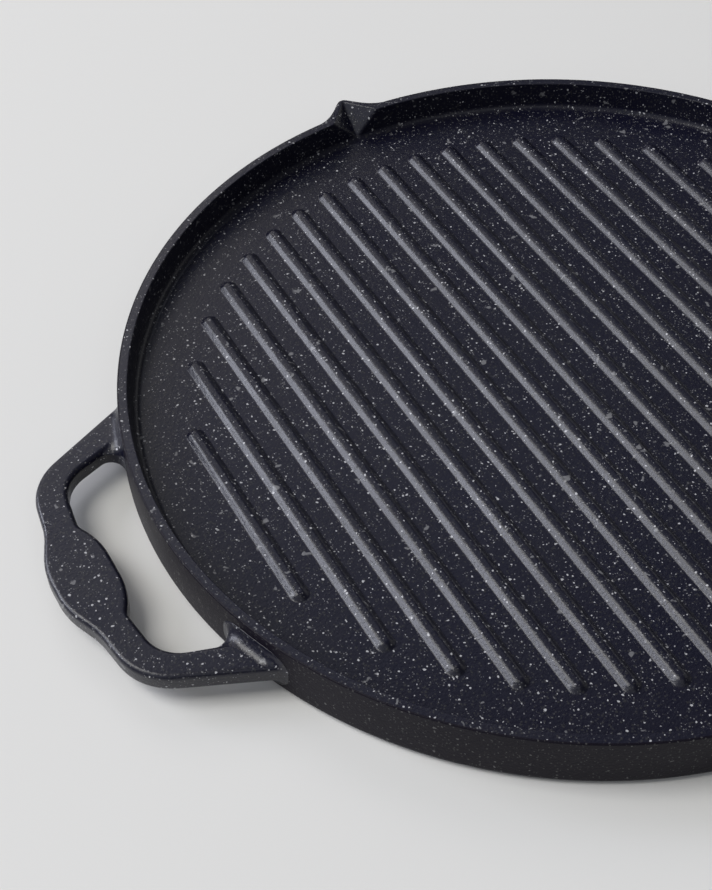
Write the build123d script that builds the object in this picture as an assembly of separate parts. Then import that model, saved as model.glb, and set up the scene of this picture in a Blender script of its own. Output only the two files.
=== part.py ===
from build123d import *
import math
import os

# Round grill pan: one ribbed light-alloy casting with two loop handles and two
# pouring lips, and a perforated steel disc pressed into its underside.
# Millimetres. The origin is the middle of the base, +Z is up, the handles lie
# along X, and the ribs and the pouring lips lie along Y.

# Dish: the wall, the rim and the cooking hollow
overall_height = 22.3
rim_radius = 165.0
rim_width = 3.7
rim_outer_round = 0.6
rim_inner_round = 0.4
wall_flare = 0.9
hollow_depth = 11.8
hollow_draft = 1.2
cove_radius = 3.0
foot_round = 2.5

# Underside: a flat pad on the hob, a foot ring round it and a channel between
foot_lift = 0.4
foot_width = 9.0
foot_edge_round = 0.8
channel_depth = 5.5
channel_round = 1.0
pad_margin = 8.0
pad_edge_round = 0.8

# Steel disc, flush with the pad, with rings of small holes
disc_radius = 110.0
disc_thickness = 0.8
disc_margin = 8.0
hole_radius = 2.5
hole_rings = 6
holes_in_first_ring = 6

# Ribs, side by side across the cooking floor
rib_pitch = 14.8
rib_base_width = 6.7
rib_top_width = 2.6
rib_height = 1.7
rib_crown_round = 2.6
rib_root_round = 0.8
rib_end_gap = 19.7

# Loop handles: how far below the rim, and how far out from the rim's edge
handle_drop = 8.25
handle_thickness = 7.5
handle_edge_round = 1.8
handle_root_round = 4.0
grip_outer_reach = 38.7
grip_inner_reach = 16.7
grip_outer_half = 9.2
grip_inner_half = 12.4
grip_outer_round = 33.0
grip_inner_round = 30.0
waist_outer_reach = 32.6
waist_inner_reach = 21.3
waist_outer_place = 23.7
waist_inner_place = 21.0
waist_outer_round = 32.0
waist_inner_round = 6.0
corner_outer_reach = 29.1
corner_inner_reach = 18.6
corner_outer_place = 47.0
corner_inner_place = 41.5
corner_outer_round = 22.5
corner_inner_round = 14.0
arm_outer_splay = 24.0
arm_inner_splay = 18.6
arm_embed = 26.0

# Pouring lips: their plan at the rim, and where their crease meets the floor
lip_half_width = 16.6
lip_flank_angle = 45.0
lip_fairing_round = 13.0
lip_tip_round = 3.0
lip_wall = 2.4
lip_shoulder = 6.1
lip_foot_gap = 1.5

# How far cutters run past the face they cut, and how far sunk pieces go in
overrun = 1.0

# The most of a straight run that the roundings at its two ends may take up
rounded_share = 0.98

half_turn = 180

# Levels and radii that follow from the sizes above
floor_level = overall_height - hollow_depth
rib_top_level = floor_level + rib_height
hollow_radius = rim_radius - rim_width
floor_radius = hollow_radius - hollow_draft
rib_field_radius = floor_radius - rib_end_gap
foot_radius = rim_radius + wall_flare
pad_radius = disc_radius + pad_margin
ring_pitch = (disc_radius - disc_margin) / hole_rings
handle_top = overall_height - handle_drop
handle_bottom = handle_top - handle_thickness


def fitted_rounds(points, rounds):
    """The corner roundings of a closed outline, eased where two would meet on the run between them."""
    corners = [Vector(*point) for point in points]
    runs = [after - before for before, after in zip(corners, corners[1:] + corners[:1])]
    taken = []
    for number, size in enumerate(rounds):
        turn = runs[number - 1].get_angle(runs[number])
        taken.append(size * math.tan(math.radians(turn) / 2))
    ease = []
    for run, at_start, at_end in zip(runs, taken, taken[1:] + taken[:1]):
        room = run.length * rounded_share
        ease.append(room / max(room, at_start + at_end))
    return [size * min(ease[number - 1], ease[number]) for number, size in enumerate(rounds)]


def rounded_face(points, rounds):
    """Closed outline in plan, with one rounding for each of its corners."""
    return make_face(FilletPolyline(*points, radius=fitted_rounds(points, rounds), close=True))


def profile_face(points, rounds):
    """The same on the XZ plane, for an outline that is turned or carried along Y."""
    return Plane.XZ * rounded_face(points, rounds)


def with_opposite(piece):
    """A piece at one side of the pan, and the same piece turned to the other side."""
    return [piece, Rot(0, 0, half_turn) * piece]


def outer_blank():
    """The casting's outside turned about Z, still solid where the hollow will be."""
    foot_inner = foot_radius - foot_width
    points = [
        (0, 0),
        (pad_radius, 0),
        (pad_radius, channel_depth),
        (foot_inner, channel_depth),
        (foot_inner, foot_lift),
        (foot_radius, foot_lift),
        (rim_radius, overall_height),
        (0, overall_height),
    ]
    under_rounds = [0, pad_edge_round, channel_round, channel_round, foot_edge_round]
    return revolve(profile_face(points, under_rounds + [foot_round, rim_outer_round, 0]), Axis.Z)


def hollow_cutter():
    """The cooking hollow turned about Z: a drafted wall and a cove down to the floor."""
    top = overall_height + overrun
    brim = hollow_radius + overrun
    points = [
        (0, floor_level),
        (floor_radius, floor_level),
        (hollow_radius, overall_height),
        (brim, overall_height),
        (brim, top),
        (0, top),
    ]
    return revolve(profile_face(points, [0, cove_radius, rim_inner_round, 0, 0, 0]), Axis.Z)


def lip_half_edge():
    """Half of a lip's edge in plan, on the +Y side: fairing off the rim, flank and tip."""
    swing = math.asin(lip_half_width / rim_radius)
    flank = math.radians(lip_flank_angle)
    start = Vector(-lip_half_width, rim_radius * math.cos(swing))
    along_rim = Vector(math.cos(swing), math.sin(swing))
    up_flank = Vector(math.cos(flank), math.sin(flank))
    fairing = JernArc(start, along_rim, lip_fairing_round, math.degrees(flank - swing))
    tip_half = lip_tip_round * math.sin(flank)
    slope = (-(fairing @ 1).X - tip_half) / math.cos(flank)
    side = Line(fairing @ 1, fairing @ 1 + up_flank * slope)
    tip = JernArc(side @ 1, up_flank, lip_tip_round, -lip_flank_angle)
    return Curve() + [fairing, side, tip]


def crease_radius():
    """Where a lip's crease starts at the rim's level: a lip's wall in from its tip."""
    return lip_half_edge().bounding_box().max.Y - lip_wall


def crease_path():
    """The line of a lip's crease: from the rim down and in to the hollow's floor."""
    foot = floor_radius - lip_foot_gap
    return Vector(0, foot - crease_radius(), -hollow_depth)


def lip_body():
    """A lip's outside: its plan at the rim carried down the crease into the wall."""
    half = lip_half_edge()
    whole = half + mirror(half, Plane.YZ)
    start = half.vertices().sort_by(Axis.X)[0].center()
    chord = Line(start, (-start.X, start.Y))
    plan = Pos(0, 0, overall_height) * make_face(whole + chord)
    path = crease_path()
    wedge = extrude(plan, path.length, dir=path)
    top_edges = wedge.faces().sort_by(Axis.Z)[-1].edges().sort_by(Axis.Y)
    return fillet(top_edges[1:], rim_outer_round)


def lip_cutter():
    """The V groove of a lip, opening from its crease to its mouth at the hollow."""
    crease = crease_radius()
    half_mouth = lip_half_width - lip_shoulder
    mouth = math.sqrt(hollow_radius**2 - half_mouth**2)
    back = mouth - half_mouth
    half_back = half_mouth * (crease - back) / (crease - mouth)
    plan = make_face(Polyline((0, crease), (half_back, back), (-half_back, back), close=True))
    path = crease_path()
    rise = path * (-overrun / hollow_depth)
    raised = Pos(rise.X, rise.Y, overall_height + rise.Z) * plan
    return extrude(raised, path.length + rise.length, dir=path)


def handle_outline(reaches, places, rounds, splay):
    """One edge of the loop in plan: grip, waist and corner, then the arm into the wall."""
    run = reaches[-1] + arm_embed
    end = (rim_radius - arm_embed, places[-1] + run * math.tan(math.radians(splay)))
    half = [(rim_radius + reach, place) for reach, place in zip(reaches, places)] + [end]
    other_half = [(x, -y) for x, y in reversed(half)]
    half_rounds = rounds + [0]
    return rounded_face(other_half + half, half_rounds[::-1] + half_rounds)


def handle_loop():
    """The loop handle on the +X side, with its long edges rounded."""
    outside = handle_outline(
        [grip_outer_reach, waist_outer_reach, corner_outer_reach],
        [grip_outer_half, waist_outer_place, corner_outer_place],
        [grip_outer_round, waist_outer_round, corner_outer_round],
        arm_outer_splay,
    )
    inside = handle_outline(
        [grip_inner_reach, waist_inner_reach, corner_inner_reach],
        [grip_inner_half, waist_inner_place, corner_inner_place],
        [grip_inner_round, waist_inner_round, corner_inner_round],
        arm_inner_splay,
    )
    loop = Pos(0, 0, handle_bottom) * extrude(outside - inside, handle_thickness)
    flat_faces = loop.faces().filter_by(Axis.Z)
    arm_end = rim_radius - arm_embed + overrun
    long_edges = [edge for edge in flat_faces.edges() if (edge @ 0.5).X > arm_end]
    return fillet(long_edges, handle_edge_round)


def arm_root_edges(casting):
    """The edges along which the handles' arms meet the outer wall."""
    found = []
    for edge in casting.edges():
        middle = edge @ 0.5
        on_wall = abs(math.hypot(middle.X, middle.Y) - rim_radius) < overrun
        at_level = handle_bottom - overrun < middle.Z < handle_top + overrun
        if on_wall and at_level and abs(middle.Y) > corner_inner_place:
            found.append(edge)
    return found


def rib(place, half_length):
    """One rib along Y at X = place: a crowned bar with round ends, sunk into the floor."""
    half_base = rib_base_width / 2
    half_top = rib_top_width / 2
    outer = half_base + rib_root_round
    sunk = floor_level - overrun
    half_points = [
        (0, sunk),
        (outer, sunk),
        (outer, floor_level),
        (half_base, floor_level),
        (half_top, rib_top_level),
        (0, rib_top_level),
    ]
    half_rounds = [0, 0, 0, rib_root_round, rib_crown_round, 0]
    half_face = profile_face(half_points, half_rounds)
    straight = half_length - outer
    whole_face = half_face + mirror(half_face, Plane.YZ)
    bar = extrude(whole_face, straight, both=True)
    turned = revolve(half_face, Axis.Z, revolution_arc=half_turn)
    ends = [Pos(0, straight, 0) * turned, Pos(0, -straight, 0) * Rot(0, 0, half_turn) * turned]
    return Pos(place, 0, 0) * (bar + ends)


def ribs():
    """The ribs in the round rib field, out to where they would be shorter than two pitches."""
    outermost = math.sqrt(rib_field_radius**2 - rib_pitch**2)
    each_side = int(outermost / rib_pitch)
    made = []
    for number in range(-each_side, each_side + 1):
        place = number * rib_pitch
        made.append(rib(place, math.sqrt(rib_field_radius**2 - place**2)))
    return made


def induction_disc():
    """The steel disc under the pan, with rings of holes that the casting fills."""
    disc = extrude(Circle(disc_radius), disc_thickness)
    places = [(0, 0)]
    for ring in range(1, hole_rings + 1):
        places += list(PolarLocations(ring * ring_pitch, ring * holes_in_first_ring))
    holes = [Location(place) * Circle(hole_radius) for place in places[1:]]
    return disc - [extrude(hole, disc_thickness) for hole in holes]


def pan_casting(disc):
    """The whole casting: blank, lips and handles, less the hollow and the disc's seat."""
    casting = outer_blank() + with_opposite(handle_loop())
    casting = fillet(arm_root_edges(casting), handle_root_round)
    casting += with_opposite(lip_body())
    casting -= hollow_cutter()
    casting -= with_opposite(lip_cutter())
    casting += ribs()
    return casting - disc


if __name__ == "__main__":
    os.makedirs("parts", exist_ok=True)
    disc = induction_disc()
    export_step(disc, "parts/induction_disc.step")
    export_step(pan_casting(disc), "parts/pan_casting.step")
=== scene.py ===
"""Looks of the round grill pan: a ribbed, coated casting with a steel disc in its base.

The pan stands on z = 0 with its middle at the origin. Its handles lie along X, its ribs
and its pouring lips along Y. Sizes are in millimetres and become metres in the meshes.
"""

import logging
import math
from dataclasses import dataclass, field, replace
from enum import Enum
from typing import Sequence

import bpy
import numpy as np
from mathutils import Matrix, Vector


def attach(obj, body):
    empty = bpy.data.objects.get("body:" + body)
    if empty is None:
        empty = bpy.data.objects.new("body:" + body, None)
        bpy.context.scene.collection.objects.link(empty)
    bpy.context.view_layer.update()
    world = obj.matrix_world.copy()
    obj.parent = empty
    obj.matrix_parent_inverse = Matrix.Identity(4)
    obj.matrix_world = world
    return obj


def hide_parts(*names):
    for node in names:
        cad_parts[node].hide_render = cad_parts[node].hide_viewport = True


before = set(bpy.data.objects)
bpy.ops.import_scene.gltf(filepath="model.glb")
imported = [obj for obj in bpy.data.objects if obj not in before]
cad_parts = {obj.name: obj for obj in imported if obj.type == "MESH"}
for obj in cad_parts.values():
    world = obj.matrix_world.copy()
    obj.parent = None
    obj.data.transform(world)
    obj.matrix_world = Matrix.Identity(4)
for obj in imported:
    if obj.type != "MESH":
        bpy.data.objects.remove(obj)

Array = np.ndarray
MILLIMETRE = 0.001
# Points closer in level than this, in millimetres, are on one level.
SAME_LEVEL = 1e-6
# The least width that is divided by, in millimetres.
LEAST_WIDTH = 1e-9
# A Mix node has several sockets of one name, so its colour sockets go by number.
COLOUR_A, COLOUR_B, COLOUR_RESULT = 6, 7, 2
log = logging.getLogger("grill_pan")


# Surfaces worked out as whole arrays


def unit(vectors: Array) -> Array:
    """Vectors over their own lengths, along the last axis."""
    return vectors / np.linalg.norm(vectors, axis=-1, keepdims=True)


def smooth_step(values: Array) -> Array:
    """3 t squared minus 2 t cubed, with t kept between 0 and 1."""
    t = np.clip(values, 0.0, 1.0)
    return t * t * (3.0 - 2.0 * t)


def smooth_greater(first: Array, second: Array, width: Array) -> Array:
    """The greater of two values, eased where they are closer than width.

    The ease is the square of (width less the difference), over four times the width.

    Args:
        first: One value at each point.
        second: The other value at each point.
        width: The difference below which the two run into each other.

    Returns:
        The eased greater value at each point.
    """
    near = np.maximum(width - np.abs(first - second), 0.0)
    return np.maximum(first, second) + near * near / (4.0 * np.maximum(width, LEAST_WIDTH))


@dataclass
class RoundedLine:
    """A plane line of straight runs, with each inner corner swung round by an arc.

    The arc at a corner touches both of its runs: it starts radius times the tangent of
    half the turn before the corner, and each of its points is the centre plus the
    radius turned evenly from the first touching point to the second.
    """

    corners: Array
    rounds: Array
    arc_cells: Sequence[int]
    run_cells: Sequence[int]
    points: Array = field(init=False)
    tangents: Array = field(init=False)
    stations: Array = field(init=False)

    def __post_init__(self) -> None:
        """Works out the line's points, tangents and stations."""
        runs = unit(np.diff(self.corners, axis=0))
        cross = runs[:-1, 0] * runs[1:, 1] - runs[:-1, 1] * runs[1:, 0]
        turns = np.arctan2(cross, np.sum(runs[:-1] * runs[1:], axis=1))
        cut = np.concatenate([[0.0], self.rounds[1:-1] * np.tan(np.abs(turns) / 2.0), [0.0]])
        points, tangents, middles, travelled = [], [], [0.0], 0.0
        for number, heading in enumerate(runs):
            start = self.corners[number] + heading * cut[number]
            end = self.corners[number + 1] - heading * cut[number + 1]
            share = np.linspace(0.0, 1.0, self.run_cells[number] + 1)[:-1, None]
            points.append(start + (end - start) * share)
            tangents.append(np.repeat(heading[None], len(share), axis=0))
            travelled += np.linalg.norm(end - start)
            if number == len(turns):
                points.append(end[None])
                tangents.append(heading[None])
                middles.append(travelled)
                break
            turn, radius = turns[number], self.rounds[number + 1]
            if radius > 0.0:
                swing = np.linspace(0.0, turn, self.arc_cells[number] + 1)[:-1]
                side = np.array([-heading[1], heading[0]]) * np.sign(turn)
                centre = end + side * radius
                along, across = np.sin(np.abs(swing))[:, None], np.cos(swing)[:, None]
                points.append(centre + radius * (along * heading - across * side))
                tangents.append(across * heading + along * side)
            middles.append(travelled + radius * abs(turn) / 2.0)
            travelled += radius * abs(turn)
        self.points = np.concatenate(points)
        self.tangents = np.concatenate(tangents)
        steps = np.linalg.norm(np.diff(self.points, axis=0), axis=1)
        along = np.concatenate([[0.0], np.cumsum(steps)])
        scaled = np.array(middles) * along[-1] / middles[-1]
        self.stations = np.interp(along, scaled, np.arange(len(middles)))

    def at(self, stations: Array) -> tuple[Array, Array]:
        """Points and unit tangents at stations, where station k is the middle of corner k.

        Args:
            stations: Places along the line, from 0 to the number of runs.

        Returns:
            The points and the unit tangents, each of shape (places, 2).
        """
        found = [
            np.stack([np.interp(stations, self.stations, values[:, axis]) for axis in (0, 1)], -1)
            for values in (self.points, self.tangents)
        ]
        return found[0], unit(found[1])


def eased_rounds(corners: Array, rounds: Array, share: float = 0.98) -> Array:
    """Corner roundings, eased where two would meet on the run between them.

    Args:
        corners: The line's corners, of shape (corners, 2).
        rounds: The rounding wanted at each corner, with 0 at both ends.
        share: The most of a run that the roundings at its two ends may take.

    Returns:
        The rounding at each corner.
    """
    steps = np.diff(corners, axis=0)
    lengths = np.linalg.norm(steps, axis=1)
    runs = steps / lengths[:, None]
    turns = np.arccos(np.clip(np.sum(runs[:-1] * runs[1:], axis=1), -1.0, 1.0))
    taken = np.concatenate([[0.0], rounds[1:-1] * np.tan(turns / 2.0), [0.0]])
    room = lengths * share
    ease = room / np.maximum(room, taken[:-1] + taken[1:])
    ends = np.concatenate([ease[:1], np.minimum(ease[:-1], ease[1:]), ease[-1:]])
    return rounds * ends


@dataclass
class Skin:
    """Closed shells gathered into one mesh, each face with the number of its finish."""

    points: list[Array] = field(default_factory=list)
    corners: list[Array] = field(default_factory=list)
    counts: list[Array] = field(default_factory=list)
    finishes: list[Array] = field(default_factory=list)
    total: int = 0

    def add_shell(self, rings: Array, start: Array, end: Array, finishes: Array | int = 0) -> None:
        """Adds a closed shell: rings joined by quads, and a fan to a point at each end.

        The shell's signed volume is a sixth of the sum of the triple products of its
        faces. Where it is negative, every face is turned over.

        Args:
            rings: Points of shape (rings, points in a ring, 3), in millimetres.
            start: The point that closes the first ring.
            end: The point that closes the last ring.
            finishes: The finish number of each row of faces: rings + 1 of them, or one.
        """
        rows, around = rings.shape[:2]
        points = np.concatenate([rings.reshape(-1, 3), start[None], end[None]])
        here = np.arange(rows * around).reshape(rows, around)
        there = np.roll(here, -1, axis=1)
        quads = np.stack([here[:-1], there[:-1], there[1:], here[1:]], -1).reshape(-1, 4)
        first, last = np.full(around, rows * around), np.full(around, rows * around + 1)
        fans = np.concatenate(
            [np.stack([first, there[0], here[0]], -1), np.stack([here[-1], there[-1], last], -1)]
        )
        halves = np.concatenate([quads[:, :3], quads[:, [0, 2, 3]], fans])
        a, b, c = (points[halves[:, corner]] for corner in range(3))
        if np.sum(a * np.cross(b, c)) < 0.0:
            quads, fans = quads[:, ::-1], fans[:, ::-1]
        rows_of = np.full(rows + 1, finishes) if np.isscalar(finishes) else np.asarray(finishes)
        self.points.append(points)
        self.corners += [(quads + self.total).ravel(), (fans + self.total).ravel()]
        self.counts += [np.full(len(quads), 4), np.full(len(fans), 3)]
        self.finishes += [np.repeat(rows_of[1:-1], around), np.repeat(rows_of[[0, -1]], around)]
        self.total += len(points)

    def mesh(self, name: str) -> bpy.types.Mesh:
        """The Blender mesh of every shell added, in metres.

        Args:
            name: The mesh's name.

        Returns:
            The mesh, shaded smooth.
        """
        points = np.concatenate(self.points) * MILLIMETRE
        corners, counts = np.concatenate(self.corners), np.concatenate(self.counts)
        made = bpy.data.meshes.new(name)
        made.vertices.add(len(points))
        made.vertices.foreach_set("co", points.astype(np.float32).ravel())
        made.loops.add(len(corners))
        made.loops.foreach_set("vertex_index", corners.astype(np.int32))
        made.polygons.add(len(counts))
        starts = np.concatenate([[0], np.cumsum(counts)[:-1]])
        made.polygons.foreach_set("loop_start", starts.astype(np.int32))
        made.polygons.foreach_set("loop_total", counts.astype(np.int32))
        finishes = np.concatenate(self.finishes)
        made.polygons.foreach_set("material_index", finishes.astype(np.int32))
        made.polygons.foreach_set("use_smooth", np.ones(len(counts), bool))
        made.update(calc_edges=True)
        made.validate()
        return made


# The casting's sub-assemblies


class Surface(Enum):
    """The finish numbers of the casting's faces, in the order of its materials."""

    INNER_COAT = 0
    OUTER_COAT = 1
    BARE_METAL = 2
    FLOOR_COAT = 3


@dataclass
class PouringLip:
    """A pouring lip: its plan at the rim, carried in and down along the crease."""

    half_width: float = 16.6
    flank_angle: float = 45.0
    fairing_round: float = 13.0
    tip_round: float = 3.0
    wall: float = 2.4
    shoulder: float = 6.1
    foot_gap: float = 1.5
    root_round: float = 1.6
    mouth_round: float = 1.0
    edge_round: float = 0.6
    root_ease: float = 1.2
    setback_run: float = 6.0
    widest_turn: float = 20.0

    def edge(self, across: Array, rim_radius: float) -> Array:
        """How far out the lip's edge stands at the rim, at places across it.

        From outside in it is the rim's circle, a fairing arc about a point on the ray
        through the lip's side, a straight flank, and the tip's arc.

        Args:
            across: Places across the lip, from its middle.
            rim_radius: The rim's radius.

        Returns:
            The distance of the edge from the pan's middle, square to across.
        """
        x = np.abs(across)
        swing = math.asin(self.half_width / rim_radius)
        flank = math.radians(self.flank_angle)
        hub = rim_radius + self.fairing_round
        fairing_x, fairing_y = hub * math.sin(swing), hub * math.cos(swing)
        flank_x = fairing_x - self.fairing_round * math.sin(flank)
        flank_y = fairing_y - self.fairing_round * math.cos(flank)
        tip_x = self.tip_round * math.sin(flank)
        tip_y = flank_y + (flank_x - tip_x) * math.tan(flank) - self.tip_round * math.cos(flank)
        circle = np.sqrt(np.maximum(rim_radius**2 - x**2, 0.0))
        fairing = fairing_y - np.sqrt(np.maximum(self.fairing_round**2 - (x - fairing_x) ** 2, 0.0))
        straight = flank_y + (flank_x - x) * math.tan(flank)
        tip = tip_y + np.sqrt(np.maximum(self.tip_round**2 - x**2, 0.0))
        places = [x > self.half_width, x > flank_x, x > tip_x]
        return np.select(places, [circle, fairing, straight], tip)

    def crease_radius(self, rim_radius: float) -> float:
        """Where the crease starts at the rim's level: a wall in from the lip's tip."""
        return float(self.edge(np.zeros(1), rim_radius)[0]) - self.wall

    def groove(self, across: Array, rim_radius: float, hollow_radius: float) -> Array:
        """How far out the V groove stands at the rim: straight flanks from its crease.

        Args:
            across: Places across the lip, from its middle.
            rim_radius: The rim's radius.
            hollow_radius: The radius of the cooking hollow at the rim.

        Returns:
            The distance of the groove from the pan's middle, square to across.
        """
        half_mouth = self.half_width - self.shoulder
        crease = self.crease_radius(rim_radius)
        mouth = math.sqrt(hollow_radius**2 - half_mouth**2)
        return crease - np.abs(across) * (crease - mouth) / half_mouth

    def setback(self, depth: Array, slope: float) -> Array:
        """How much further the tip's sharp edge is rounded back than the upright rim's.

        The edge's arc touches the level top and the face that leans in by slope. Its
        centre is the radius over the tangent of half the edge's angle behind the edge.

        Args:
            depth: Depths below the rim.
            slope: How far the leaning face goes in for each millimetre down.

        Returns:
            The extra distance at each depth.
        """
        angle = math.atan2(1.0, slope)
        behind = self.edge_round / math.tan(angle / 2.0)
        drop = np.clip(depth, 0.0, self.edge_round * (1.0 + math.cos(angle)))
        reach = np.sqrt(np.maximum(self.edge_round**2 - (drop - self.edge_round) ** 2, 0.0))
        upright = np.where(depth < self.edge_round, self.edge_round - reach, 0.0)
        return np.maximum(behind - slope * drop - reach, 0.0) - upright


@dataclass
class Dish:
    """The round body: underside, wall, rim, cove and cooking floor, with its two lips."""

    overall_height: float = 22.3
    rim_radius: float = 165.0
    rim_width: float = 3.7
    rim_outer_round: float = 0.6
    rim_inner_round: float = 0.4
    wall_flare: float = 0.9
    hollow_depth: float = 11.8
    hollow_draft: float = 1.2
    cove_radius: float = 3.0
    foot_round: float = 2.5
    foot_lift: float = 0.4
    foot_width: float = 9.0
    foot_edge_round: float = 0.8
    channel_depth: float = 5.5
    channel_round: float = 1.0
    pad_radius: float = 118.0
    pad_edge_round: float = 0.8
    disc_radius: float = 110.0
    disc_thickness: float = 0.8
    open_floor_radius: float = 148.0
    rim_edge_run: float = 1.3
    fine_from: float = 81.0
    fine_rays: int = 36
    settling_rounds: int = 12
    lip: PouringLip = field(default_factory=PouringLip)

    @property
    def floor_level(self) -> float:
        """The level of the cooking floor between the ribs."""
        return self.overall_height - self.hollow_depth

    @property
    def hollow_radius(self) -> float:
        """The radius of the cooking hollow at the rim."""
        return self.rim_radius - self.rim_width

    @property
    def foot_radius(self) -> float:
        """The radius of the wall's outside, carried down to the foot."""
        return self.rim_radius + self.wall_flare

    def section(self) -> RoundedLine:
        """Half the dish's section: from the disc's seat out, up, over the rim and in.

        Returns:
            The rounded line, of radius and level.
        """
        top, floor = self.overall_height, self.floor_level
        foot_inner = self.foot_radius - self.foot_width
        lean = self.wall_flare / (top - self.foot_lift)
        corners = [
            (self.disc_radius, self.disc_thickness, 0.0),
            (self.disc_radius, 0.0, 0.0),
            (self.pad_radius, 0.0, self.pad_edge_round),
            (self.pad_radius, self.channel_depth, self.channel_round),
            (foot_inner, self.channel_depth, self.channel_round),
            (foot_inner, self.foot_lift, self.foot_edge_round),
            (self.foot_radius, self.foot_lift, self.foot_round),
            (self.rim_radius + lean * self.rim_edge_run, top - self.rim_edge_run, 0.0),
            (self.rim_radius, top, self.rim_outer_round),
            (self.hollow_radius, top, self.rim_inner_round),
            (self.hollow_radius - self.hollow_draft, floor, self.cove_radius),
            (self.open_floor_radius, floor, 0.0),
        ]
        line = np.array(corners)
        arc_cells = [1, 4, 3, 3, 3, 9, 1, 5, 4, 9]
        run_cells = [1, 2, 1, 5, 1, 2, 10, 3, 3, 12, 2]
        return RoundedLine(line[:, :2], line[:, 2], arc_cells, run_cells)

    def angles(self) -> Array:
        """The angles of the section's copies about Z, closer together at the lips.

        Returns:
            The angles, in radians.
        """
        wide = np.arange(0.0, self.fine_from, 1.0)
        close = np.linspace(self.fine_from, 90.0, self.fine_rays + 1)[:-1]
        quarter = np.concatenate([wide, close])
        half = np.concatenate([quarter, [90.0], 180.0 - quarter[:0:-1]])
        return np.radians(np.concatenate([half, half + 180.0]))

    def surface(self) -> tuple[Array, Array]:
        """The dish's rings of points and the finish of each row of faces.

        A point is the section's radius plus the lip's reach, turned about Z. The reach
        outside is the eased greater of the wall and the lip's edge, drawn in by the
        crease's slope times the depth, less the wall. Inside it is the same with the
        groove, and across the rim it goes evenly from one to the other. On the floor the
        reach at the cove's foot fades evenly to nothing.

        Returns:
            Rings of shape (rows, angles, 3), and rows + 1 finish numbers.
        """
        line = self.section().points
        radius, level = line[:, :1], line[:, 1:]
        depth = self.overall_height - level
        angles = self.angles()[None]
        turn = np.abs(np.degrees(angles) % 180.0 - 90.0)
        from_lip = np.radians(np.minimum(turn, self.lip.widest_turn))
        crease = self.lip.crease_radius(self.rim_radius)
        crease_foot = self.hollow_radius - self.hollow_draft - self.lip.foot_gap
        slope = (crease - crease_foot) / self.hollow_depth
        on_top = np.nonzero(line[:, 1] > self.overall_height - SAME_LEVEL)[0]
        is_low = line[:, 1] < self.foot_lift + SAME_LEVEL
        on_foot = np.nonzero(is_low & (line[:, 0] > self.pad_radius))[0]
        rim_outer, rim_inner = line[on_top[0], 0], line[on_top[-1], 0]
        order = np.arange(len(line))[:, None]
        across = (rim_outer - radius) / (rim_outer - rim_inner)
        across = np.where(order <= on_top[0], 0.0, across)
        inward = np.where(order >= on_top[-1], 1.0, across)
        wall = self.wall_radius(level)
        hollow_wall = np.minimum(self.hollow_wall_radius(level), radius)
        edge = self.reach(from_lip, depth, slope, True)
        groove = self.reach(from_lip, depth, slope, False)
        root = np.minimum(self.lip.root_round, self.lip.root_ease * depth)
        outside = smooth_greater(wall, edge, root) - wall
        standing = smooth_step(outside / self.lip.setback_run)
        outside = outside - self.lip.setback(depth, slope) * standing
        mouth = np.full_like(groove, self.lip.mouth_round)
        inside = smooth_greater(hollow_wall, groove, mouth) - hollow_wall
        is_floor = line[:, 1] < self.floor_level + SAME_LEVEL
        on_floor = np.nonzero(is_floor & (order[:, 0] > on_top[-1]))[0]
        fade_run = line[on_floor[0], 0] - self.open_floor_radius
        fading = (line[on_floor, :1] - self.open_floor_radius) / fade_run
        inside[on_floor] = inside[on_floor[0]] * fading
        grown = np.where(order < on_foot[-1], 0.0, outside * (1.0 - inward) + inside * inward)
        spread = radius + grown
        height = np.broadcast_to(level, spread.shape)
        rings = np.stack([spread * np.cos(angles), spread * np.sin(angles), height], -1)
        return rings, self.row_finishes(line, on_top)

    def row_finishes(self, line: Array, on_top: Array) -> Array:
        """The finish number of each row of faces, from the disc's seat to the floor.

        Args:
            line: The section's points.
            on_top: The numbers of those points that lie on the rim's level top.

        Returns:
            A number for each run between points, and one more at each end.
        """
        middle = (line[1:] + line[:-1]) / 2.0
        order = np.arange(len(middle))
        on_pad = (middle[:, 1] < SAME_LEVEL) & (middle[:, 0] < self.pad_radius)
        on_floor = (order > on_top[-1]) & (middle[:, 1] < self.floor_level + self.cove_radius)
        rows = np.select(
            [on_pad, on_floor, order < on_top[0]],
            [Surface.BARE_METAL.value, Surface.FLOOR_COAT.value, Surface.OUTER_COAT.value],
            Surface.INNER_COAT.value,
        )
        return np.concatenate([[Surface.BARE_METAL.value], rows, [Surface.FLOOR_COAT.value]])

    def reach(self, turn: Array, depth: Array, slope: float, outside: bool) -> Array:
        """How far out the lip's edge or groove stands at each depth, along each angle.

        The place across the lip is the distance times the sine of the angle, so the
        distance is found by taking the edge there, less slope times depth, over the
        cosine, a few times over.

        Args:
            turn: Angles from the lip's middle.
            depth: Depths below the rim.
            slope: How far the crease goes in for each millimetre down.
            outside: True for the edge outside, False for the groove.

        Returns:
            The distances from Z, of the shape that turn and depth make together.
        """
        distance = np.full(np.broadcast(turn, depth).shape, self.rim_radius)
        for _ in range(self.settling_rounds):
            across = distance * np.sin(turn)
            if outside:
                plain = self.lip.edge(across, self.rim_radius)
            else:
                plain = self.lip.groove(across, self.rim_radius, self.hollow_radius)
            distance = (plain - slope * depth) / np.cos(turn)
        return distance

    def wall_radius(self, level: Array) -> Array:
        """The radius of the wall's outside at each level, without its roundings."""
        share = (self.overall_height - level) / (self.overall_height - self.foot_lift)
        return self.rim_radius + self.wall_flare * share

    def hollow_wall_radius(self, level: Array) -> Array:
        """The radius of the hollow's wall at each level, without its roundings."""
        depth = self.overall_height - level
        return self.hollow_radius - self.hollow_draft * depth / self.hollow_depth

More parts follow.
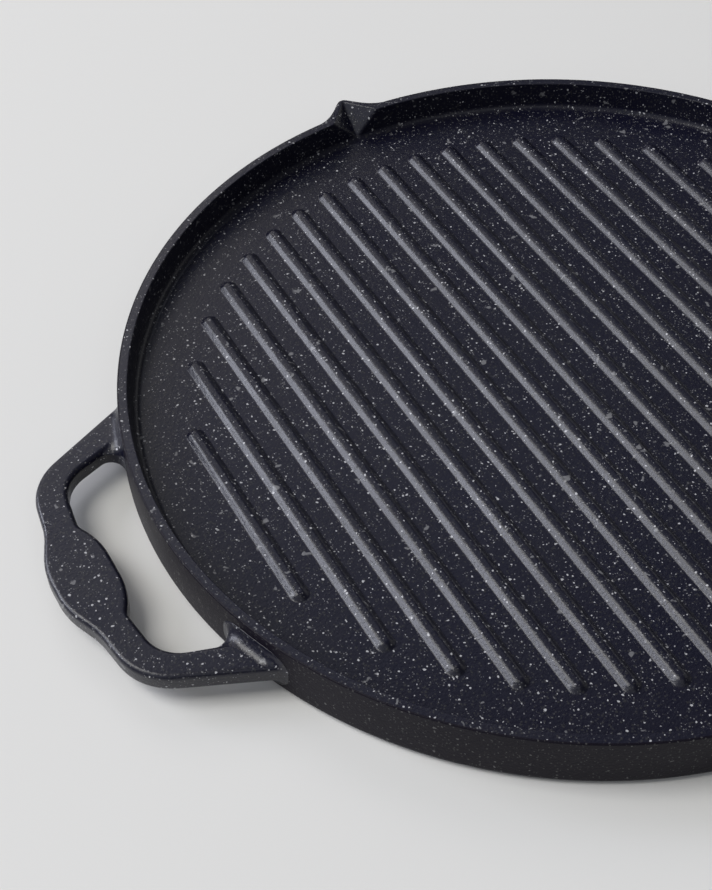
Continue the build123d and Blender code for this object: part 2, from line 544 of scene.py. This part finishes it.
    def wall_offset(self, points: Array) -> tuple[Array, Array]:
        """How far points stand out from the wall and foot, and which way out is there.

        Beside the straight wall the distance is measured square to it. Below the level
        where the foot's rounding starts it is measured from the rounding's centre.

        Args:
            points: Points of shape (any, 3).

        Returns:
            The distances, and the unit vectors that point straight out.
        """
        around = np.arctan2(points[:, 1], points[:, 0])
        flat = np.stack([np.hypot(points[:, 0], points[:, 1]), points[:, 2]], -1)
        top = np.array([self.rim_radius, self.overall_height])
        foot = np.array([self.foot_radius, self.foot_lift])
        up = unit(top - foot)
        out = np.array([up[1], -up[0]])
        centre_level = self.foot_lift + self.foot_round
        centre_radius = foot[0] - (self.foot_round + (centre_level - foot[1]) * out[1]) / out[0]
        spoke = flat - np.array([centre_radius, centre_level])
        below = (spoke @ up) < 0.0
        along = np.linalg.norm(spoke, axis=1)
        distance = np.where(below, along - self.foot_round, (flat - foot) @ out)
        facing = np.where(below[:, None], spoke / along[:, None], out)
        return distance, np.stack(
            [facing[:, 0] * np.cos(around), facing[:, 0] * np.sin(around), facing[:, 1]], -1
        )

    def build(self, skin: Skin) -> None:
        """Adds the dish to the casting's skin.

        Args:
            skin: The casting's skin.
        """
        rings, finishes = self.surface()
        seat = np.array([0.0, 0.0, self.disc_thickness])
        floor = np.array([0.0, 0.0, self.floor_level])
        skin.add_shell(rings, seat, floor, finishes)
        log.info("dish: %d rows of %d points", *rings.shape[:2])


@dataclass
class RibField:
    """The ribs, side by side across the round rib field of the cooking floor."""

    pitch: float = 14.8
    base_width: float = 6.7
    top_width: float = 2.6
    height: float = 1.7
    crown_round: float = 2.6
    root_round: float = 0.8
    field_radius: float = 140.4
    sunk: float = 1.0
    toe_drop: float = 0.01
    crown_end: float = 0.2
    end_rays: int = 17
    side_cells: int = 8

    def section(self, floor_level: float) -> Array:
        """Half a rib's section: from under the floor out, up the root, flank and crown.

        A point a little under the toe keeps the buried face out of the toe's shading.

        Args:
            floor_level: The level that the ribs stand on.

        Returns:
            The points, of reach from the rib's middle line and level.
        """
        half_base, half_top = self.base_width / 2.0, self.top_width / 2.0
        toe = half_base + self.root_round
        top = floor_level + self.height
        line = RoundedLine(
            np.array(
                [(toe, floor_level), (half_base, floor_level), (half_top, top), (self.crown_end, top)]
            ),
            np.array([0.0, self.root_round, self.crown_round, 0.0]),
            [4, 6],
            [1, 2, 1],
        )
        foot = line.points[1] - np.array([0.0, self.toe_drop])
        return np.concatenate([[(half_base, floor_level - self.sunk), foot], line.points[1:]])

    def build(self, skin: Skin, floor_level: float) -> None:
        """Adds the ribs. Each ring of a rib is a long round-ended outline about its axis.

        Args:
            skin: The casting's skin.
            floor_level: The level that the ribs stand on.
        """
        section = self.section(floor_level)
        toe = self.base_width / 2.0 + self.root_round
        each_side = int(math.sqrt(self.field_radius**2 - self.pitch**2) / self.pitch)
        places = np.arange(-each_side, each_side + 1) * self.pitch
        straights = np.sqrt(self.field_radius**2 - places**2) - toe
        swing = np.linspace(0.0, math.pi, self.end_rays)
        along = np.linspace(-1.0, 1.0, self.side_cells + 1)[1:-1]
        level_way = np.zeros(len(along))
        turn = np.concatenate([swing, level_way + math.pi, swing + math.pi, level_way])
        end = np.concatenate([np.ones(len(swing)), -along, -np.ones(len(swing)), along])
        out, level = section[:, :1], section[:, 1:]
        for place, straight in zip(places, straights):
            x = place + out * np.cos(turn)
            y = straight * end + out * np.sin(turn)
            rings = np.stack([x, y, np.broadcast_to(level, x.shape)], -1)
            middles = np.array([[place, 0.0, section[0, 1]], [place, 0.0, section[-1, 1]]])
            skin.add_shell(rings, middles[0], middles[1])
        log.info("ribs: %d, %.1f mm apart", len(places), self.pitch)


@dataclass
class LoopHandle:
    """A loop handle: a rounded bar carried along an outer and an inner plan line."""

    drop: float = 8.25
    thickness: float = 7.5
    edge_round: float = 1.8
    root_round: float = 4.5
    hole_corner_round: float = 6.0
    outer_reaches: tuple[float, ...] = (38.7, 32.6, 29.1)
    outer_places: tuple[float, ...] = (9.2, 23.7, 47.0)
    outer_rounds: tuple[float, ...] = (33.0, 32.0, 22.5)
    outer_splay: float = 24.0
    inner_reaches: tuple[float, ...] = (16.7, 21.3, 18.6)
    inner_places: tuple[float, ...] = (12.4, 21.0, 41.5)
    inner_rounds: tuple[float, ...] = (30.0, 6.0, 14.0)
    inner_splay: float = 18.6
    embed: float = 26.0
    straight_station: float = 0.8
    middle_station: float = 3.5
    sunk: float = 1.2
    sunk_scale: float = 0.9
    sunk_more: float = 0.2
    arc_cells: int = 24
    run_cells: int = 12
    edge_rays: int = 7
    flat_cells: int = 8
    blend_cells: int = 10
    arm_cells: int = 5
    loop_rings: int = 70
    halvings: int = 40

    def outline(
        self,
        rim_radius: float,
        reaches: tuple[float, ...],
        places: tuple[float, ...],
        rounds: tuple[float, ...],
        splay: float,
    ) -> RoundedLine:
        """One edge of the loop in plan, from one arm's end round the grip to the other's.

        Args:
            rim_radius: The rim's radius, from which the reaches are measured.
            reaches: How far out the grip's, waist's and corner's corners stand.
            places: How far they stand from the handle's middle line.
            rounds: Their roundings.
            splay: The arm's angle from the handle's middle line, in degrees.

        Returns:
            The rounded line.
        """
        run = reaches[-1] + self.embed
        end_place = places[-1] + run * math.tan(math.radians(splay))
        half = np.array(
            [(rim_radius + reach, place) for reach, place in zip(reaches, places)]
            + [(rim_radius - self.embed, end_place)]
        )
        corners = np.concatenate([half[::-1] * np.array([1.0, -1.0]), half])
        both = np.array([*rounds, 0.0])
        eased = eased_rounds(corners, np.concatenate([both[::-1], both]))
        runs = len(corners) - 1
        return RoundedLine(corners, eased, [self.arc_cells] * (runs - 1), [self.run_cells] * runs)

    def columns(self) -> tuple[Array, Array, Array, Array]:
        """The bar's section, as one value of each kind for each point round it.

        Returns:
            The share of the way from the outer to the inner side, the inset from that
            side, the height above the bar's middle, and the slope of the normal.
        """
        swing = np.radians(np.linspace(0.0, 90.0, self.edge_rays))
        half = self.thickness / 2.0 - self.edge_round
        inset = self.edge_round * (1.0 - np.cos(swing))
        rise = half + self.edge_round * np.sin(swing)
        flat = np.linspace(0.0, 1.0, self.flat_cells + 1)[1:-1]
        share = np.concatenate([np.zeros(len(swing) + 1), flat, np.ones(len(swing) + 1)])
        inset, rise, slope = (
            np.concatenate([[0.0], values, np.full(len(flat), on_flat), values[::-1], [0.0]])
            for values, on_flat in (
                (inset, self.edge_round),
                (rise, self.thickness / 2.0),
                (swing, math.pi / 2.0),
            )
        )
        lower = slice(-2, 0, -1)
        return (
            np.concatenate([share, share[lower]]),
            np.concatenate([inset, inset[lower]]),
            np.concatenate([rise, -rise[lower]]),
            np.concatenate([slope, -slope[lower]]),
        )

    def bar(self, dish: Dish, stations: Array) -> tuple[Array, Array]:
        """The bar's points and normals at stations along the loop.

        A point is the outer line less its inset, taken share of the way to the inner
        line less its inset, at the section's height.

        Args:
            dish: The dish that the handle stands on.
            stations: Places along the loop, of shape (rings,) or (rings, points round).

        Returns:
            Points and unit normals of shape (rings, points round, 3).
        """
        share, inset, rise, slope = self.columns()
        rows = stations if stations.ndim == 2 else stations[:, None]
        place = np.broadcast_to(rows, (len(stations), len(share)))
        edges = (
            (1.0, self.outer_reaches, self.outer_places, self.outer_rounds, self.outer_splay),
            (-1.0, self.inner_reaches, self.inner_places, self.inner_rounds, self.inner_splay),
        )
        sides, ways_out = [], []
        for sign, *sizes in edges:
            found = self.outline(dish.rim_radius, *sizes).at(place.ravel())
            point, way = (values.reshape(*place.shape, 2) for values in found)
            way_out = sign * np.stack([way[..., 1], -way[..., 0]], -1)
            sides.append(point - way_out * inset[None, :, None])
            ways_out.append(way_out)
        on_inner = share[None, :, None]
        plan = sides[0] * (1.0 - on_inner) + sides[1] * on_inner
        level = dish.overall_height - self.drop - self.thickness / 2.0 + rise
        side = np.where(on_inner > 0.5, ways_out[1], ways_out[0]) * np.cos(slope)[None, :, None]
        points = np.concatenate([plan, np.broadcast_to(level[None, :, None], (*place.shape, 1))], -1)
        upward = np.broadcast_to(np.sin(slope)[None, :, None], (*place.shape, 1))
        return points, np.concatenate([side, upward], -1)

    def root(self, dish: Dish) -> tuple[Array, Array]:
        """The arm's blend into the wall, rolled round the arm by a ball.

        The ball touches the arm and the wall: its centre is a radius out from the arm
        along the arm's normal, at the station where it is a radius out from the wall.
        The blend's points are the centre plus the radius, swung evenly from the one
        touching point to the other. The station is halved in on, all round at once.

        Args:
            dish: The dish that the handle stands on.

        Returns:
            The blend's rings from inside the wall to the arm, and the station where
            each point round the arm leaves it.
        """
        share, _, _, slope = self.columns()
        low, high = np.zeros(len(share)), np.full(len(share), self.straight_station)
        to_hole = np.where(share > 0.5, np.cos(slope) ** 2, 0.0)
        ball = self.root_round + (self.hole_corner_round - self.root_round) * to_hole
        for _ in range(self.halvings):
            middle = (low + high) / 2.0
            points, normals = (v[0] for v in self.bar(dish, middle[None]))
            distance, _ = dish.wall_offset(points + normals * ball[:, None])
            clear = distance > ball
            low, high = np.where(clear, low, middle), np.where(clear, middle, high)
        points, normals = (v[0] for v in self.bar(dish, high[None]))
        centre = points + normals * ball[:, None]
        _, out = dish.wall_offset(centre)
        span = np.arccos(np.clip(np.sum(normals * out, axis=1), -1.0, 1.0))
        step = np.linspace(1.0, 0.0, self.blend_cells + 1)[:-1, None]
        from_arm = (np.sin((1.0 - step) * span) / np.sin(span))[..., None]
        from_wall = (np.sin(step * span) / np.sin(span))[..., None]
        blend = centre - ball[:, None] * (from_arm * normals + from_wall * out)
        middle = blend[0].mean(axis=0)
        inside = blend[0] - out * self.sunk
        inside = middle + (inside - middle) * self.sunk_scale - out * self.sunk * self.sunk_more
        return np.concatenate([inside[None], blend]), high

    def build(self, skin: Skin, dish: Dish) -> None:
        """Adds the handle at +X and the same handle turned half round.

        Args:
            skin: The casting's skin.
            dish: The dish that the handles stand on.
        """
        blend, leaves = self.root(dish)
        step = np.linspace(0.0, 1.0, self.arm_cells + 1)[:-1, None]
        arm_points, _ = self.bar(dish, leaves + (self.straight_station - leaves) * step)
        loop = np.linspace(self.straight_station, self.middle_station, self.loop_rings)
        loop_points, _ = self.bar(dish, loop)
        half = np.concatenate([blend, arm_points, loop_points])
        other = half[::-1][1:] * np.array([1.0, -1.0, 1.0])
        rings = np.concatenate([half, other])
        for side in (1.0, -1.0):
            turned = rings * np.array([side, side, 1.0])
            skin.add_shell(turned, turned[0].mean(axis=0), turned[-1].mean(axis=0))
        log.info("handles: 2, %d rings of %d points", *rings.shape[:2])


@dataclass
class DiscStuds:
    """The casting's round studs that fill the steel disc's holes, flush with the base."""

    ring_pitch: float = 17.0
    rings: int = 6
    first_ring: int = 6
    radius: float = 2.5
    height: float = 1.6
    sides: int = 20
    level_share: float = 0.94

    def build(self, skin: Skin) -> None:
        """Adds the studs: short rounds on rings about the pan's middle.

        A ring a little in from the rim of the seen end keeps that end level in the light.

        Args:
            skin: The casting's skin.
        """
        ring_numbers = np.arange(1, self.rings + 1)
        number = np.repeat(ring_numbers, ring_numbers * self.first_ring)
        order = np.concatenate([np.arange(ring * self.first_ring) for ring in ring_numbers])
        angle = 2.0 * math.pi * order / (number * self.first_ring)
        reach = (number * self.ring_pitch)[:, None]
        centres = reach * np.stack([np.cos(angle), np.sin(angle)], -1)
        turn = np.linspace(0.0, 2.0 * math.pi, self.sides, endpoint=False)
        for centre in centres:
            spokes = self.radius * np.stack([np.cos(turn), np.sin(turn)], -1)
            rings = [
                np.concatenate([centre + share * spokes, np.full((self.sides, 1), level)], 1)
                for share, level in ((self.level_share, 0.0), (1.0, 0.0), (1.0, self.height))
            ]
            caps = [np.array([*centre, level]) for level in (0.0, self.height)]
            skin.add_shell(np.stack(rings), caps[0], caps[1], Surface.BARE_METAL.value)
        log.info("studs: %d", len(centres))


# Finishes


def add_node(
    tree: bpy.types.NodeTree, kind: str, inputs: dict | None = None, **settings: object
) -> bpy.types.Node:
    """Adds a node, sets it up, and gives its inputs values or links.

    Args:
        tree: The node tree to add to.
        kind: The node's type.
        inputs: A value or an output socket for each input, by name or number.
        settings: The node's own settings.

    Returns:
        The node.
    """
    made = tree.nodes.new(kind)
    for name, value in settings.items():
        setattr(made, name, value)
    for name, value in (inputs or {}).items():
        if isinstance(value, bpy.types.NodeSocket):
            tree.links.new(value, made.inputs[name])
        else:
            made.inputs[name].default_value = value
    return made


def add_group(
    tree: bpy.types.NodeTree, group: bpy.types.NodeTree, inputs: dict
) -> bpy.types.NodeSocket:
    """Places a shared group in a material, with its own values, and gives its output."""
    return add_node(tree, "ShaderNodeGroup", inputs, node_tree=group).outputs[0]


def mix_colours(
    tree: bpy.types.NodeTree,
    share: bpy.types.NodeSocket,
    first: Sequence[float] | bpy.types.NodeSocket,
    second: Sequence[float],
) -> bpy.types.NodeSocket:
    """The output of a colour Mix node.

    Args:
        tree: The node tree to add to.
        share: How much of the second colour there is.
        first: The first colour, as three numbers or as an output socket.
        second: The second colour, as three numbers.

    Returns:
        The mixed colour.
    """
    start = first if isinstance(first, bpy.types.NodeSocket) else (*first, 1.0)
    inputs = {"Factor": share, COLOUR_A: start, COLOUR_B: (*second, 1.0)}
    return add_node(tree, "ShaderNodeMix", inputs, data_type="RGBA").outputs[COLOUR_RESULT]


def new_group(
    name: str, inputs: Sequence[tuple[str, str, float]], outputs: Sequence[tuple[str, str]]
) -> tuple[bpy.types.NodeTree, bpy.types.Node, bpy.types.Node]:
    """A shader node group with named sockets.

    Args:
        name: The group's name.
        inputs: The name, kind and default of each input. A vector's default isn't used.
        outputs: The name and kind of each output.

    Returns:
        The group, its input node and its output node.
    """
    group = bpy.data.node_groups.new(name, "ShaderNodeTree")
    for label, kind, value in inputs:
        socket = group.interface.new_socket(name=label, in_out="INPUT", socket_type=kind)
        if kind == "NodeSocketFloat":
            socket.default_value = value
    for label, kind in outputs:
        group.interface.new_socket(name=label, in_out="OUTPUT", socket_type=kind)
    return group, group.nodes.new("NodeGroupInput"), group.nodes.new("NodeGroupOutput")


def math_node(
    tree: bpy.types.NodeTree, operation: str, *values: float | bpy.types.NodeSocket
) -> bpy.types.NodeSocket:
    """The output of a Math node with these values or sockets as its inputs."""
    return add_node(tree, "ShaderNodeMath", dict(enumerate(values)), operation=operation).outputs[0]


class Effects:
    """The shader node groups that the finishes share, each built once."""

    speck_core: float = 0.55
    speck_least: float = 0.45
    speck_spread: float = 0.7
    cloud_low: float = 0.3
    cloud_high: float = 0.7

    def __init__(self) -> None:
        """Builds the groups."""
        self.speckle = self.make_speckle()
        self.turned = self.make_turned()
        self.mottle = self.make_mottle()

    def make_speckle(self) -> bpy.types.NodeTree:
        """Specks: rounds about the points of a cell pattern, only in a share of the cells.

        Each speck fades from its core out, and a fine ripple makes its outline uneven.

        Returns:
            The group, which puts out a mask.
        """
        sockets = [
            ("Vector", "NodeSocketVector", 0.0),
            ("Cells per metre", "NodeSocketFloat", 1000.0),
            ("Share", "NodeSocketFloat", 0.5),
            ("Size", "NodeSocketFloat", 0.4),
            ("Unevenness", "NodeSocketFloat", 0.3),
        ]
        tree, given, result = new_group("speckle", sockets, [("Mask", "NodeSocketFloat")])
        at, cells = given.outputs["Vector"], given.outputs["Cells per metre"]
        ripple = add_node(tree, "ShaderNodeTexNoise", {"Vector": at, "Scale": cells, "Detail": 1.0})
        colours = {0: ripple.outputs["Color"], 1: (0.5, 0.5, 0.5)}
        centred = add_node(tree, "ShaderNodeVectorMath", colours, operation="SUBTRACT")
        amount = math_node(tree, "DIVIDE", given.outputs["Unevenness"], cells)
        push = {0: centred.outputs[0], "Scale": amount}
        pushed = add_node(tree, "ShaderNodeVectorMath", push, operation="SCALE")
        moved = add_node(tree, "ShaderNodeVectorMath", {0: at, 1: pushed.outputs[0]}, operation="ADD")
        pattern = {"Vector": moved.outputs[0], "Scale": cells, "Randomness": 1.0}
        cell = add_node(tree, "ShaderNodeTexVoronoi", pattern)
        pick = add_node(tree, "ShaderNodeSeparateColor", {"Color": cell.outputs["Color"]})
        chosen = math_node(tree, "LESS_THAN", pick.outputs[0], given.outputs["Share"])
        vary = math_node(tree, "MULTIPLY_ADD", pick.outputs[1], self.speck_spread, self.speck_least)
        radius = math_node(tree, "MULTIPLY", given.outputs["Size"], vary)
        core = math_node(tree, "MULTIPLY", radius, self.speck_core)
        edge = {"Value": cell.outputs["Distance"], "From Min": core, "From Max": radius}
        edge |= {"To Min": 1.0, "To Max": 0.0}
        fade = add_node(tree, "ShaderNodeMapRange", edge, interpolation_type="SMOOTHSTEP")
        mask = math_node(tree, "MULTIPLY", fade.outputs["Result"], chosen)
        tree.links.new(mask, result.inputs["Mask"])
        return tree

    def make_turned(self) -> bpy.types.NodeTree:
        """Turning marks: fine rings about the pan's middle, a little uneven.

        Returns:
            The group, which puts out a height.
        """
        sockets = [("Vector", "NodeSocketVector", 0.0), ("Rings per metre", "NodeSocketFloat", 2500.0)]
        tree, given, result = new_group("turned_rings", sockets, [("Height", "NodeSocketFloat")])
        level = {0: given.outputs["Vector"], 1: (1.0, 1.0, 0.0)}
        flat = add_node(tree, "ShaderNodeVectorMath", level, operation="MULTIPLY")
        out = add_node(tree, "ShaderNodeVectorMath", {0: flat.outputs[0]}, operation="LENGTH")
        count = math_node(tree, "MULTIPLY", out.outputs["Value"], given.outputs["Rings per metre"])
        grain = {"W": count, "Scale": 1.0, "Detail": 3.0}
        fine = add_node(tree, "ShaderNodeTexNoise", grain, noise_dimensions="1D")
        tree.links.new(fine.outputs["Fac"], result.inputs["Height"])
        return tree

    def make_mottle(self) -> bpy.types.NodeTree:
        """Mottling: soft clouds, from 0 to 1.

        Returns:
            The group, which puts out a value.
        """
        sockets = [("Vector", "NodeSocketVector", 0.0), ("Clouds per metre", "NodeSocketFloat", 60.0)]
        tree, given, result = new_group("mottle", sockets, [("Value", "NodeSocketFloat")])
        pattern = {"Vector": given.outputs["Vector"], "Scale": given.outputs["Clouds per metre"]}
        pattern |= {"Detail": 3.0, "Roughness": 0.6}
        cloud = add_node(tree, "ShaderNodeTexNoise", pattern)
        ends = {"Value": cloud.outputs["Fac"], "From Min": self.cloud_low, "From Max": self.cloud_high}
        spread = add_node(tree, "ShaderNodeMapRange", ends)
        tree.links.new(spread.outputs["Result"], result.inputs["Value"])
        return tree


@dataclass(frozen=True)
class Specks:
    """One size of speck in the coat: how close, how common, how wide and how light."""

    cells_per_metre: float
    share: float
    size: float
    unevenness: float
    colour: tuple[float, float, float]
    strength: float


@dataclass(frozen=True)
class SpeckledCoat:
    """The baked speckled coat: dark satin with light specks and a fine skin.

    Its ground goes between base and warm with soft clouds. The skin's height is in metres.
    """

    name: str
    base: tuple[float, float, float]
    warm: tuple[float, float, float]
    specks: tuple[Specks, ...]
    roughness: float = 0.31
    specular: float = 0.5
    skin_height: float = 0.00010
    skin_per_metre: float = 1100.0
    speck_relief: float = 0.25
    clouds_per_metre: float = 45.0
    gloss_spread: float = 0.08

    def material(self, effects: Effects) -> bpy.types.Material:
        """The coat's material.

        Args:
            effects: The shared node groups.

        Returns:
            The material.
        """
        made = bpy.data.materials.new(self.name)
        made.use_nodes = True
        tree = made.node_tree
        shader = tree.nodes["Principled BSDF"]
        at = add_node(tree, "ShaderNodeTexCoord").outputs["Object"]
        cloudy = {"Vector": at, "Clouds per metre": self.clouds_per_metre}
        clouds = add_group(tree, effects.mottle, cloudy)
        colour = mix_colours(tree, clouds, self.base, self.warm)
        speck_sum = None
        for specks in self.specks:
            values = {
                "Vector": at,
                "Cells per metre": specks.cells_per_metre,
                "Share": specks.share,
                "Size": specks.size,
                "Unevenness": specks.unevenness,
            }
            mask = add_group(tree, effects.speckle, values)
            eased = math_node(tree, "MULTIPLY", mask, specks.strength)
            colour = mix_colours(tree, eased, colour, specks.colour)
            speck_sum = eased if speck_sum is None else math_node(tree, "MAXIMUM", speck_sum, eased)
        tree.links.new(colour, shader.inputs["Base Color"])
        grain = {"Vector": at, "Scale": self.skin_per_metre, "Detail": 2.0}
        skin = add_node(tree, "ShaderNodeTexNoise", grain)
        level = math_node(tree, "MULTIPLY_ADD", speck_sum, self.speck_relief, skin.outputs["Fac"])
        relief = {"Strength": 1.0, "Distance": self.skin_height, "Height": level}
        bump = add_node(tree, "ShaderNodeBump", relief)
        tree.links.new(bump.outputs["Normal"], shader.inputs["Normal"])
        least = self.roughness - self.gloss_spread / 2.0
        gloss = math_node(tree, "MULTIPLY_ADD", clouds, self.gloss_spread, least)
        tree.links.new(gloss, shader.inputs["Roughness"])
        shader.inputs["Specular IOR Level"].default_value = self.specular
        return made


@dataclass(frozen=True)
class TurnedMetal:
    """Metal turned on a lathe: fine rings about the pan's middle."""

    name: str
    base: tuple[float, float, float]
    roughness: float = 0.32
    rings_per_metre: float = 2600.0
    ring_height: float = 0.00002
    clouds_per_metre: float = 25.0
    darkest: float = 0.86
    gloss_spread: float = 0.12

    def material(self, effects: Effects) -> bpy.types.Material:
        """The metal's material.

        Args:
            effects: The shared node groups.

        Returns:
            The material.
        """
        made = bpy.data.materials.new(self.name)
        made.use_nodes = True
        tree = made.node_tree
        shader = tree.nodes["Principled BSDF"]
        at = add_node(tree, "ShaderNodeTexCoord").outputs["Object"]
        ringed = {"Vector": at, "Rings per metre": self.rings_per_metre}
        rings = add_group(tree, effects.turned, ringed)
        cloudy = {"Vector": at, "Clouds per metre": self.clouds_per_metre}
        clouds = add_group(tree, effects.mottle, cloudy)
        dark = [self.darkest * part for part in self.base]
        tone = mix_colours(tree, clouds, self.base, dark)
        tree.links.new(tone, shader.inputs["Base Color"])
        shader.inputs["Metallic"].default_value = 1.0
        least = self.roughness - self.gloss_spread / 2.0
        gloss = math_node(tree, "MULTIPLY_ADD", rings, self.gloss_spread, least)
        tree.links.new(gloss, shader.inputs["Roughness"])
        relief = {"Strength": 1.0, "Distance": self.ring_height, "Height": rings}
        bump = add_node(tree, "ShaderNodeBump", relief)
        tree.links.new(bump.outputs["Normal"], shader.inputs["Normal"])
        return made


# The whole pan and its setting


@dataclass
class GrillPan:
    """The casting, made anew over its CAD node, and the disc, dressed as it is."""

    dish: Dish = field(default_factory=Dish)
    ribs: RibField = field(default_factory=RibField)
    handle: LoopHandle = field(default_factory=LoopHandle)
    studs: DiscStuds = field(default_factory=DiscStuds)
    inner_coat: SpeckledCoat = SpeckledCoat(
        name="speckled_coat",
        base=(0.003, 0.003, 0.013),
        warm=(0.005, 0.005, 0.014),
        specks=(
            Specks(1100.0, 0.40, 0.55, 0.7, (0.022, 0.022, 0.026), 1.0),
            Specks(1350.0, 0.20, 0.46, 0.6, (0.15, 0.15, 0.16), 1.0),
            Specks(300.0, 0.12, 0.34, 1.6, (0.18, 0.18, 0.19), 0.8),
            Specks(800.0, 0.14, 0.38, 0.8, (0.44, 0.44, 0.46), 1.0),
        ),
    )
    outer_coat: SpeckledCoat = SpeckledCoat(
        name="outside_coat",
        base=(0.005, 0.0035, 0.009),
        warm=(0.007, 0.0055, 0.011),
        specks=(
            Specks(1200.0, 0.30, 0.46, 0.6, (0.07, 0.07, 0.07), 0.8),
            Specks(600.0, 0.12, 0.32, 0.9, (0.14, 0.14, 0.14), 0.8),
        ),
        roughness=0.46,
        specular=0.14,
    )
    floor_coat: SpeckledCoat = replace(inner_coat, name="floor_coat", specular=0.38)
    bare: TurnedMetal = TurnedMetal(name="turned_aluminium", base=(0.78, 0.78, 0.79))
    steel: TurnedMetal = TurnedMetal(name="turned_steel", base=(0.56, 0.55, 0.54), roughness=0.36)

    def build(self) -> None:
        """Builds the casting's mesh and dresses both pieces."""
        skin = Skin()
        self.dish.build(skin)
        self.ribs.build(skin, self.dish.floor_level)
        self.handle.build(skin, self.dish)
        self.studs.build(skin)
        effects = Effects()
        mesh = skin.mesh("casting")
        for finish in (self.inner_coat, self.outer_coat, self.bare, self.floor_coat):
            mesh.materials.append(finish.material(effects))
        casting = bpy.data.objects.new("casting", mesh)
        bpy.context.scene.collection.objects.link(casting)
        weighted = casting.modifiers.new("even_shading", "WEIGHTED_NORMAL")
        weighted.keep_sharp = True
        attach(casting, "root")
        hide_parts("pan_casting")
        triangles = sum(len(face.vertices) - 2 for face in mesh.polygons)
        log.info("casting: %d vertices, %d triangles", len(mesh.vertices), triangles)
        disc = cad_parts["induction_disc"]
        disc.data.materials.clear()
        disc.data.materials.append(self.steel.material(effects))
        log.info("disc: dressed as %s", self.steel.name)


@dataclass(frozen=True)
class Lamp:
    """An oblong area lamp that faces the pan's middle, in metres and watts."""

    name: str
    place: tuple[float, float, float]
    size: tuple[float, float]
    power: float
    colour: tuple[float, float, float]

    def build(self) -> None:
        """Sets the lamp up, turned so that it shines from its place at the origin."""
        data = bpy.data.lights.new(self.name, "AREA")
        data.shape = "RECTANGLE"
        data.size, data.size_y = self.size
        data.energy, data.color = self.power, self.colour
        holder = bpy.data.objects.new(self.name, data)
        holder.location = self.place
        holder.rotation_euler = Vector(self.place).to_track_quat("Z", "Y").to_euler()
        bpy.context.scene.collection.objects.link(holder)
        log.info("lamp: %s, %.0f W", self.name, self.power)


@dataclass
class Studio:
    """The pale floor, the soft lamps and the camera at the photo's place."""

    floor_colour: tuple[float, float, float] = (0.76, 0.755, 0.735)
    floor_size: float = 8.0
    floor_roughness: float = 0.7
    floor_specular: float = 0.2
    world_colour: tuple[float, float, float] = (0.95, 0.97, 1.0)
    world_strength: float = 0.11
    lamps: tuple[Lamp, ...] = (
        Lamp("softbox", (-2.34, 1.24, 4.24), (2.6, 2.6), 135.0, (1.0, 0.99, 0.96)),
        Lamp("window", (-3.97, 3.58, 2.72), (3.8, 2.2), 184.0, (1.0, 1.03, 1.16)),
        Lamp("back", (0.09, 2.49, 1.68), (1.6, 1.0), 8.0, (1.0, 0.95, 0.93)),
        Lamp("sky", (0.57, 1.76, 2.36), (2.0, 0.8), 3.4, (0.88, 0.93, 1.08)),
        Lamp("right", (3.37, 0.59, 0.73), (3.5, 1.2), 6.0, (1.0, 1.0, 1.0)),
        Lamp("side", (-1.9, -0.9, 1.5), (1.5, 1.5), 5.0, (0.88, 0.92, 1.0)),
        Lamp("front", (-0.3, -1.6, 1.95), (1.5, 1.5), 4.5, (0.92, 0.95, 1.0)),
    )
    camera_place: tuple[float, float, float] = (-0.25598, -0.32144, 0.43228)
    camera_forward: tuple[float, float, float] = (0.30404, 0.58588, -0.75121)
    camera_roll: float = 0.03674
    lens: float = 63.57
    sensor: float = 36.0
    nearest: float = 0.01
    farthest: float = 50.0

    def build_floor(self) -> None:
        """A wide level square at z = 0."""
        half = self.floor_size / 2.0
        mesh = bpy.data.meshes.new("floor")
        corners = [(-half, -half, 0), (half, -half, 0), (half, half, 0), (-half, half, 0)]
        mesh.from_pydata(corners, [], [(0, 1, 2, 3)])
        paint = bpy.data.materials.new("floor_paper")
        paint.use_nodes = True
        shader = paint.node_tree.nodes["Principled BSDF"]
        shader.inputs["Base Color"].default_value = (*self.floor_colour, 1.0)
        shader.inputs["Roughness"].default_value = self.floor_roughness
        shader.inputs["Specular IOR Level"].default_value = self.floor_specular
        mesh.materials.append(paint)
        floor = bpy.data.objects.new("floor", mesh)
        bpy.context.scene.collection.objects.link(floor)
        log.info("floor: %.0f m square", self.floor_size)

    def build_light(self) -> None:
        """A softbox and a low window from the left and behind, and weak lamps all round."""
        world = bpy.data.worlds.new("studio")
        bpy.context.scene.world = world
        world.use_nodes = True
        background = world.node_tree.nodes["Background"]
        background.inputs["Color"].default_value = (*self.world_colour, 1.0)
        background.inputs["Strength"].default_value = self.world_strength
        for lamp in self.lamps:
            lamp.build()

    def build_camera(self) -> None:
        """The camera, turned by its roll about the line of sight."""
        forward = Vector(self.camera_forward).normalized()
        level = forward.cross(Vector((0.0, 0.0, 1.0))).normalized()
        upright = level.cross(forward)
        right = level * math.cos(self.camera_roll) - upright * math.sin(self.camera_roll)
        up = level * math.sin(self.camera_roll) + upright * math.cos(self.camera_roll)
        data = bpy.data.cameras.new("photo_camera")
        data.sensor_width, data.lens = self.sensor, self.lens
        data.clip_start, data.clip_end = self.nearest, self.farthest
        camera = bpy.data.objects.new("photo_camera", data)
        turn = Matrix((right, up, -forward)).transposed()
        camera.matrix_world = Matrix.Translation(self.camera_place) @ turn.to_4x4()
        bpy.context.scene.collection.objects.link(camera)
        bpy.context.scene.camera = camera

    def build(self) -> None:
        """Builds the setting."""
        bpy.context.scene.view_settings.view_transform = "Standard"
        self.build_floor()
        self.build_light()
        self.build_camera()


def main() -> None:
    """Builds the pan and its setting."""
    logging.basicConfig(level=logging.INFO, format="%(name)s: %(message)s")
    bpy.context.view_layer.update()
    GrillPan().build()
    Studio().build()


if __name__ == "__main__":
    main()
